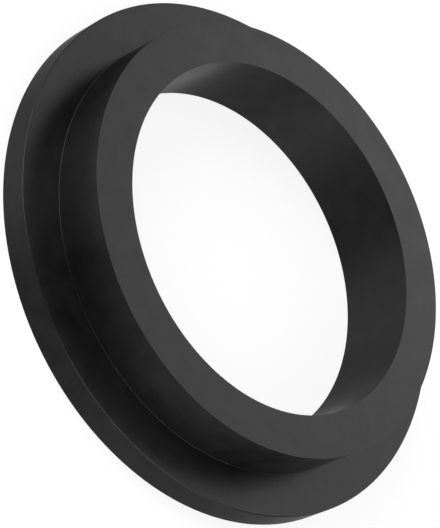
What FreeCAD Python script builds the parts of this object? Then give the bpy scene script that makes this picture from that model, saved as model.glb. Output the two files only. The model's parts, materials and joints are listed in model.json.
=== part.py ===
"""A flanged rubber seal ring with an L-shaped section, moulded in one piece.

A straight bore runs right through. The barrel is the sleeve that pushes into the mouth of a port,
and the flange is the wide collar at its foot that is squeezed between two pipe faces.
The ring lies on its flange: the back of the flange is at Z = 0, its centre is the origin,
and +Z runs along the bore towards the nose of the barrel. Lengths are in millimetres.
"""

import math
import os

import FreeCAD
import Part
import Sketcher

# Driving dimensions. Each can be changed by itself.
SIZES = {
    "bore_diameter": 38.1,
    "barrel_wall": 4.5,
    "barrel_rise": 5.85,
    "flange_reach": 4.5,
    "flange_thickness": 3.15,
    "root_fillet_radius": 0.1,
    "flange_edge_radius": 0.1,
}

# Dimensions that follow from the driving ones.
DERIVED = {
    "bore_radius": "=bore_diameter / 2",
    "barrel_radius": "=bore_radius + barrel_wall",
    "flange_radius": "=barrel_radius + flange_reach",
    "overall_height": "=flange_thickness + barrel_rise",
}

NODE = "seal_ring"
MATCH_TOLERANCE = 1e-4


def make_sheet(doc):
    """The spreadsheet that holds every size under its own alias."""
    sheet = doc.addObject("Spreadsheet::Sheet", "Sizes")
    for row, (alias, value) in enumerate({**SIZES, **DERIVED}.items(), start=1):
        sheet.set(f"A{row}", alias)
        sheet.set(f"B{row}", str(value))
        sheet.setAlias(f"B{row}", alias)
    doc.recompute()
    return sheet


def origin_feature(body, role):
    """One of the body's own origin planes or axes, found by its role."""
    return next(f for f in body.Origin.OriginFeatures if f.Role == role)


def make_section(body, sheet):
    """Half of the ring's section: the L that turns round the Z axis to make the ring."""
    sketch = body.newObject("Sketcher::SketchObject", "ring_section")
    sketch.AttachmentSupport = [(origin_feature(body, "XZ_Plane"), "")]
    sketch.MapMode = "FlatFace"

    bore, barrel, flange = sheet.bore_radius, sheet.barrel_radius, sheet.flange_radius
    step, nose = sheet.flange_thickness, sheet.overall_height
    corners = [(bore, 0), (flange, 0), (flange, step), (barrel, step), (barrel, nose), (bore, nose)]
    points = [FreeCAD.Vector(x, z, 0) for x, z in corners]
    back, rim, shoulder, wall, face, hole = range(len(points))
    for start, end in zip(points, points[1:] + points[:1]):
        sketch.addGeometry(Part.LineSegment(start, end))
    for line in range(len(points)):
        sketch.addConstraint(Sketcher.Constraint("Coincident", line, 2, (line + 1) % len(points), 1))
    for line in (back, shoulder, face):
        sketch.addConstraint(Sketcher.Constraint("Horizontal", line))
    for line in (rim, wall, hole):
        sketch.addConstraint(Sketcher.Constraint("Vertical", line))
    sketch.addConstraint(Sketcher.Constraint("PointOnObject", back, 1, -1))

    def distance(kind, line, end, name, value):
        """Holds one corner at its distance from the origin, as the sheet gives it."""
        constraint = sketch.addConstraint(Sketcher.Constraint(kind, -1, 1, line, end, value))
        sketch.renameConstraint(constraint, name)
        sketch.setExpression(f"Constraints.{name}", f"Sizes.{name}")

    distance("DistanceX", back, 1, "bore_radius", bore)
    distance("DistanceX", shoulder, 2, "barrel_radius", barrel)
    distance("DistanceX", back, 2, "flange_radius", flange)
    distance("DistanceY", rim, 2, "flange_thickness", step)
    distance("DistanceY", face, 1, "overall_height", nose)
    return sketch


def make_ring(body, sketch):
    """The section turned once round the bore's axis."""
    ring = body.newObject("PartDesign::Revolution", "ring")
    ring.Profile = sketch
    ring.ReferenceAxis = (sketch, ["V_Axis"])
    ring.Angle = 360
    sketch.Visibility = False
    return ring


def circular_edges(shape, circles):
    """Names of the shape's full circular edges at the given (radius, height) pairs."""
    names = []
    for number, edge in enumerate(shape.Edges, start=1):
        if not isinstance(edge.Curve, Part.Circle):
            continue
        radius, height = edge.Curve.Radius, edge.Curve.Center.z
        if any(math.isclose(radius, r, abs_tol=MATCH_TOLERANCE)
               and math.isclose(height, z, abs_tol=MATCH_TOLERANCE) for r, z in circles):
            names.append(f"Edge{number}")
    if len(names) != len(circles):
        raise RuntimeError(f"found {len(names)} of {len(circles)} edges to round")
    return names


def round_edges(body, base, name, circles, alias):
    """Rounds circular edges of the base feature with a radius from the sheet."""
    body.Document.recompute()
    fillet = body.newObject("PartDesign::Fillet", name)
    fillet.Base = (base, circular_edges(base.Shape, circles))
    fillet.setExpression("Radius", f"Sizes.{alias}")
    return fillet


def make_seal_ring(doc, sheet):
    """The whole ring: turned section, filleted root under the barrel and a rounded front flange edge."""
    body = doc.addObject("PartDesign::Body", NODE)
    body.Label = NODE
    ring = make_ring(body, make_section(body, sheet))

    barrel, flange, step = sheet.barrel_radius, sheet.flange_radius, sheet.flange_thickness
    root = round_edges(body, ring, "root_fillet", [(barrel, step)], "root_fillet_radius")
    round_edges(body, root, "flange_edge", [(flange, step)], "flange_edge_radius")
    return body


def check(doc, parts):
    """Stops if a feature failed or a sub-part isn't one sound solid."""
    failed = [o.Name for o in doc.Objects if {"Invalid", "Error"} & set(o.State)]
    if failed:
        raise RuntimeError(f"these objects failed: {failed}")
    for part in parts:
        if part.Shape.isNull() or not part.Shape.isValid() or len(part.Shape.Solids) != 1:
            raise RuntimeError(f"{part.Label} isn't one valid solid")


def main():
    doc = FreeCAD.newDocument("SealRing")
    sheet = make_sheet(doc)
    parts = [make_seal_ring(doc, sheet)]
    doc.recompute()
    check(doc, parts)
    os.makedirs("parts", exist_ok=True)
    for part in parts:
        part.Shape.exportStep(f"parts/{part.Label}.step")
        box = part.Shape.optimalBoundingBox(False)
        print(f"{part.Label}: {box.XLength:.3f} x {box.YLength:.3f} x {box.ZLength:.3f} mm,"
              f" {part.Shape.Volume:.1f} mm3")


main()
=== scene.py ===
"""The looks of a flanged rubber seal ring: satin black rubber on a plain pale floor in soft studio light.

The ring lies on its flange in the frame's own axes. Its bore runs along +Z and the camera stands on
the -Y side. Lengths are in metres. The section comes from the frame: its mounts give the radii and
heights, and only the softness of the edges is set here.
"""

import json
import math

import bpy
from mathutils import Matrix, Vector


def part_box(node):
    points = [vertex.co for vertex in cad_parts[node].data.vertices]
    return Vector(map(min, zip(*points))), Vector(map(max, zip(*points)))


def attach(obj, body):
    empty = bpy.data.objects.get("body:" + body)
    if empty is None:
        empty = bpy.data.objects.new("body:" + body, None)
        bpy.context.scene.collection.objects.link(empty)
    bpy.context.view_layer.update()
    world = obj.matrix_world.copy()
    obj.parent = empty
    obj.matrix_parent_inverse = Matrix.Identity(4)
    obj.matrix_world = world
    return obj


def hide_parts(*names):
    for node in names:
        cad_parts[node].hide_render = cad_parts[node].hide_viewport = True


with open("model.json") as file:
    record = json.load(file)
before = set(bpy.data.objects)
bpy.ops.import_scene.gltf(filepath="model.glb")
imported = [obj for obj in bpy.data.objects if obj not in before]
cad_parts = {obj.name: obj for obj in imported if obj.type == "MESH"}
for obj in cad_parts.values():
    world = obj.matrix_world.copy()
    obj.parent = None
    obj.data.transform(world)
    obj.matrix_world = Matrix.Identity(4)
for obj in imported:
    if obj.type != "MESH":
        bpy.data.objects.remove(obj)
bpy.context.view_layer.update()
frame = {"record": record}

MM = 0.001

# Edge rounds of the moulded section.
CRISP_ROUND = 0.01 * MM
FLANGE_ROUND = 0.10 * MM
ROOT_FILLET = 0.05 * MM
ROUND_STEPS = 8
TURNS = 384

# The rubber: how rough and how black it is, and how far apart its changes lie.
RUBBER_IOR = 1.5
ROUGHNESS = 0.305
ROUGHNESS_CHANGE = 0.025
GLOSS_DRIFT = 3.0 * MM
GLOSS_DETAIL = 3
TONE = 0.010
TONE_CHANGE = 0.003
TONE_DRIFT = 2.0 * MM
TONE_DETAIL = 2
GRAIN = 0.35 * MM
GRAIN_DETAIL = 3
GRAIN_DEPTH = 0.008 * MM
GRAIN_STRENGTH = 1.0
NOISE_LOW, NOISE_HIGH = 0.3, 0.7

# The camera looks down on the ring, a hair off its centre and turned about its line of sight.
CAMERA_ELEVATION = math.radians(42.65)
CAMERA_TURN = math.radians(64.73)
CAMERA_DISTANCE = 271.4 * MM
CAMERA_LENS = 176.9
AIM_RIGHT = 0.320 * MM
AIM_UP = -0.052 * MM
NEAREST_SEEN = 10 * MM
FARTHEST_SEEN = 20.0

# The floor: half its width, how far it lies below the ring, its white and its own glow.
FLOOR_HALF = 4.0
FLOOR_DROP = 0.01 * MM
FLOOR_WHITE = 0.34
FLOOR_GLOW = 0.82

# Soft round studio lights: azimuth from +X, elevation and half width in degrees, and brightness.
LIGHTS = {
    "left": (197, 30, 27, 2.5),
    "right": (318, 11, 45, 1.4),
    "far": (62, -2, 40, 0.4),
    "far_high": (97, 27, 14.5, 1.08),
    "far_left": (157, 8, 15, 0.9),
    "left_low": (203, -14, 37, 0.25),
    "top": (72, 47, 21, 0.9),
    "overhead": (190, 76, 18, 0.7),
    "far_below": (103, -44, 7, 0.27),
}

# The even light from below the horizon, and how far about the horizon it takes to fade.
LIGHT_FROM_BELOW = 0.21
HORIZON_BLEND = 0.24


def mount(name):
    """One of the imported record's mounts, by name."""
    return next(m for m in frame["record"]["mounts"] if m["name"] == name)


def rounded_corner(before, corner, after, radius, steps):
    """Points and outward normals of the arc that rounds one corner of the section."""
    to_before = (Vector(before) - Vector(corner)).normalized()
    to_after = (Vector(after) - Vector(corner)).normalized()
    half_angle = to_before.angle(to_after) / 2
    centre = Vector(corner) + (to_before + to_after).normalized() * radius / math.sin(half_angle)
    start = Vector(corner) + to_before * radius / math.tan(half_angle) - centre
    end = Vector(corner) + to_after * radius / math.tan(half_angle) - centre
    sweep = math.atan2(start.x * end.y - start.y * end.x, start.dot(end))
    outward = 1 if sweep > 0 else -1
    arc = []
    for step in range(steps + 1):
        spoke = Matrix.Rotation(sweep * step / steps, 2) @ start
        arc.append((centre + spoke, outward * spoke.normalized()))
    return arc


def ring_section():
    """The closed L of the ring, anticlockwise from the bore's foot, as (radius, height) and normals."""
    bore = mount("bore")["dims"]["r_mm"] * MM
    barrel = mount("barrel")["dims"]["r_mm"] * MM
    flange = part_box("seal_ring")[1].x
    step = mount("flange_front")["pos_m"][2]
    nose = mount("nose_face")["pos_m"][2]
    corners = [
        ((bore, 0), CRISP_ROUND),
        ((flange, 0), CRISP_ROUND),
        ((flange, step), FLANGE_ROUND),
        ((barrel, step), ROOT_FILLET),
        ((barrel, nose), CRISP_ROUND),
        ((bore, nose), CRISP_ROUND),
    ]
    section = []
    for index, (corner, radius) in enumerate(corners):
        before = corners[index - 1][0]
        after = corners[(index + 1) % len(corners)][0]
        section += rounded_corner(before, corner, after, radius, ROUND_STEPS)
    return section


def turned_mesh(name, section, turns):
    """The section turned about Z as a closed quad mesh, with the section's true normals."""
    points, normals = [], []
    for turn in range(turns):
        angle = 2 * math.pi * turn / turns
        cos, sin = math.cos(angle), math.sin(angle)
        for point, normal in section:
            points.append((point.x * cos, point.x * sin, point.y))
            normals.append((normal.x * cos, normal.x * sin, normal.y))
    count = len(section)
    faces = []
    for turn in range(turns):
        here, there = turn * count, (turn + 1) % turns * count
        for i in range(count):
            j = (i + 1) % count
            faces.append((here + i, there + i, there + j, here + j))
    mesh = bpy.data.meshes.new(name)
    mesh.from_pydata(points, [], faces)
    mesh.polygons.foreach_set("use_smooth", [True] * len(faces))
    mesh.normals_split_custom_set_from_vertices(normals)
    return mesh


def add_object(name, data):
    """A new object in the scene, at the origin."""
    piece = bpy.data.objects.new(name, data)
    bpy.context.scene.collection.objects.link(piece)
    return piece


def add_node(tree, kind, **settings):
    """A new node with its properties, and its input values by name."""
    node = tree.nodes.new(kind)
    for key, value in settings.items():
        if key in node.inputs:
            node.inputs[key].default_value = value
        else:
            setattr(node, key, value)
    return node


def noise(tree, place, grain, detail):
    """Soft noise whose blotches are about grain metres across."""
    texture = add_node(tree, "ShaderNodeTexNoise", Scale=1 / grain, Detail=detail)
    tree.links.new(place.outputs["Object"], texture.inputs["Vector"])
    return texture.outputs["Fac"]


def spread_over(tree, value, low, high):
    """The noise, stretched from low to high."""
    spread = add_node(tree, "ShaderNodeMapRange")
    spread.inputs["From Min"].default_value = NOISE_LOW
    spread.inputs["From Max"].default_value = NOISE_HIGH
    spread.inputs["To Min"].default_value = low
    spread.inputs["To Max"].default_value = high
    tree.links.new(value, spread.inputs["Value"])
    return spread.outputs["Result"]


def rubber_material():
    """Satin black rubber: a fine moulded grain, and gloss and tone that drift a little across it."""
    material = bpy.data.materials.new("black_rubber")
    material.use_nodes = True
    tree = material.node_tree
    shader = tree.nodes["Principled BSDF"]
    shader.inputs["IOR"].default_value = RUBBER_IOR
    place = add_node(tree, "ShaderNodeTexCoord")

    drift = noise(tree, place, TONE_DRIFT, TONE_DETAIL)
    tone = spread_over(tree, drift, TONE - TONE_CHANGE, TONE + TONE_CHANGE)
    tree.links.new(tone, shader.inputs["Base Color"])

    gloss = noise(tree, place, GLOSS_DRIFT, GLOSS_DETAIL)
    rough = spread_over(tree, gloss, ROUGHNESS - ROUGHNESS_CHANGE, ROUGHNESS + ROUGHNESS_CHANGE)
    tree.links.new(rough, shader.inputs["Roughness"])

    bump = add_node(tree, "ShaderNodeBump", Strength=GRAIN_STRENGTH, Distance=GRAIN_DEPTH)
    tree.links.new(noise(tree, place, GRAIN, GRAIN_DETAIL), bump.inputs["Height"])
    tree.links.new(bump.outputs["Normal"], shader.inputs["Normal"])
    return material


def make_ring():
    """The ring itself, which stands for the frame's solid."""
    ring = add_object("moulded_ring", turned_mesh("moulded_ring", ring_section(), TURNS))
    ring.data.materials.append(rubber_material())
    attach(ring, "root")
    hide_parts("seal_ring")


def make_floor():
    """A plain white floor, a hair below the ring's foot. It is seen, but throws no light on the ring."""
    half, low = FLOOR_HALF, -FLOOR_DROP
    corners = [(-half, -half, low), (half, -half, low), (half, half, low), (-half, half, low)]
    mesh = bpy.data.meshes.new("floor")
    mesh.from_pydata(corners, [], [(0, 1, 2, 3)])
    floor = add_object("floor", mesh)
    material = bpy.data.materials.new("white_floor")
    material.use_nodes = True
    shader = material.node_tree.nodes["Principled BSDF"]
    shader.inputs["Base Color"].default_value = (FLOOR_WHITE, FLOOR_WHITE, FLOOR_WHITE, 1)
    shader.inputs["Roughness"].default_value = 1.0
    shader.inputs["Specular IOR Level"].default_value = 0.0
    shader.inputs["Emission Color"].default_value = (1, 1, 1, 1)
    shader.inputs["Emission Strength"].default_value = FLOOR_GLOW
    mesh.materials.append(material)
    floor.visible_diffuse = False
    floor.visible_glossy = False
    floor.visible_shadow = False


def make_lamp(name, azimuth, elevation, half_width, brightness):
    """A far round softbox: a sun lamp that fills a wide disc of the sky evenly."""
    lamp = bpy.data.lights.new(name, "SUN")
    half = math.radians(half_width)
    lamp.angle = 2 * half
    lamp.energy = brightness * math.pi * math.sin(half) ** 2
    turn = Matrix.Rotation(math.radians(azimuth), 3, "Z")
    tilt = Matrix.Rotation(math.radians(90 - elevation), 3, "Y")
    add_object(name, lamp).matrix_world = (turn @ tilt).to_4x4()


def make_light():
    """A studio with nine soft lights and a little light from below, in front of plain white."""
    for name, setting in LIGHTS.items():
        make_lamp(name, *setting)
    world = bpy.data.worlds.new("studio")
    bpy.context.scene.world = world
    world.use_nodes = True
    tree = world.node_tree
    direction = add_node(tree, "ShaderNodeTexCoord")
    height = add_node(tree, "ShaderNodeSeparateXYZ")
    tree.links.new(direction.outputs["Generated"], height.inputs[0])
    below = add_node(tree, "ShaderNodeMapRange", interpolation_type="SMOOTHSTEP")
    below.inputs["From Min"].default_value = HORIZON_BLEND
    below.inputs["From Max"].default_value = -HORIZON_BLEND
    below.inputs["To Max"].default_value = LIGHT_FROM_BELOW
    tree.links.new(height.outputs["Z"], below.inputs["Value"])
    ray = add_node(tree, "ShaderNodeLightPath")
    white_when_seen = add_node(tree, "ShaderNodeMath", operation="MAXIMUM")
    tree.links.new(below.outputs["Result"], white_when_seen.inputs[0])
    tree.links.new(ray.outputs["Is Camera Ray"], white_when_seen.inputs[1])
    tree.links.new(white_when_seen.outputs["Value"], tree.nodes["Background"].inputs["Color"])
    bpy.context.scene.view_settings.view_transform = "Standard"


def make_camera():
    """The photo's view: the direction, the turn of the picture and the lens that fit its circles."""
    camera = bpy.data.cameras.new("camera")
    camera.lens = CAMERA_LENS
    camera.clip_start, camera.clip_end = NEAREST_SEEN, FARTHEST_SEEN
    viewer = add_object("camera", camera)
    back = Vector((0, -math.cos(CAMERA_ELEVATION), math.sin(CAMERA_ELEVATION)))
    turn = back.to_track_quat("Z", "Y").to_matrix() @ Matrix.Rotation(CAMERA_TURN, 3, "Z")
    right, up = turn.col[0], turn.col[1]
    place = back * CAMERA_DISTANCE + right * AIM_RIGHT + up * AIM_UP
    viewer.matrix_world = Matrix.Translation(place) @ turn.to_4x4()
    bpy.context.scene.camera = viewer


make_ring()
make_floor()
make_light()
make_camera()
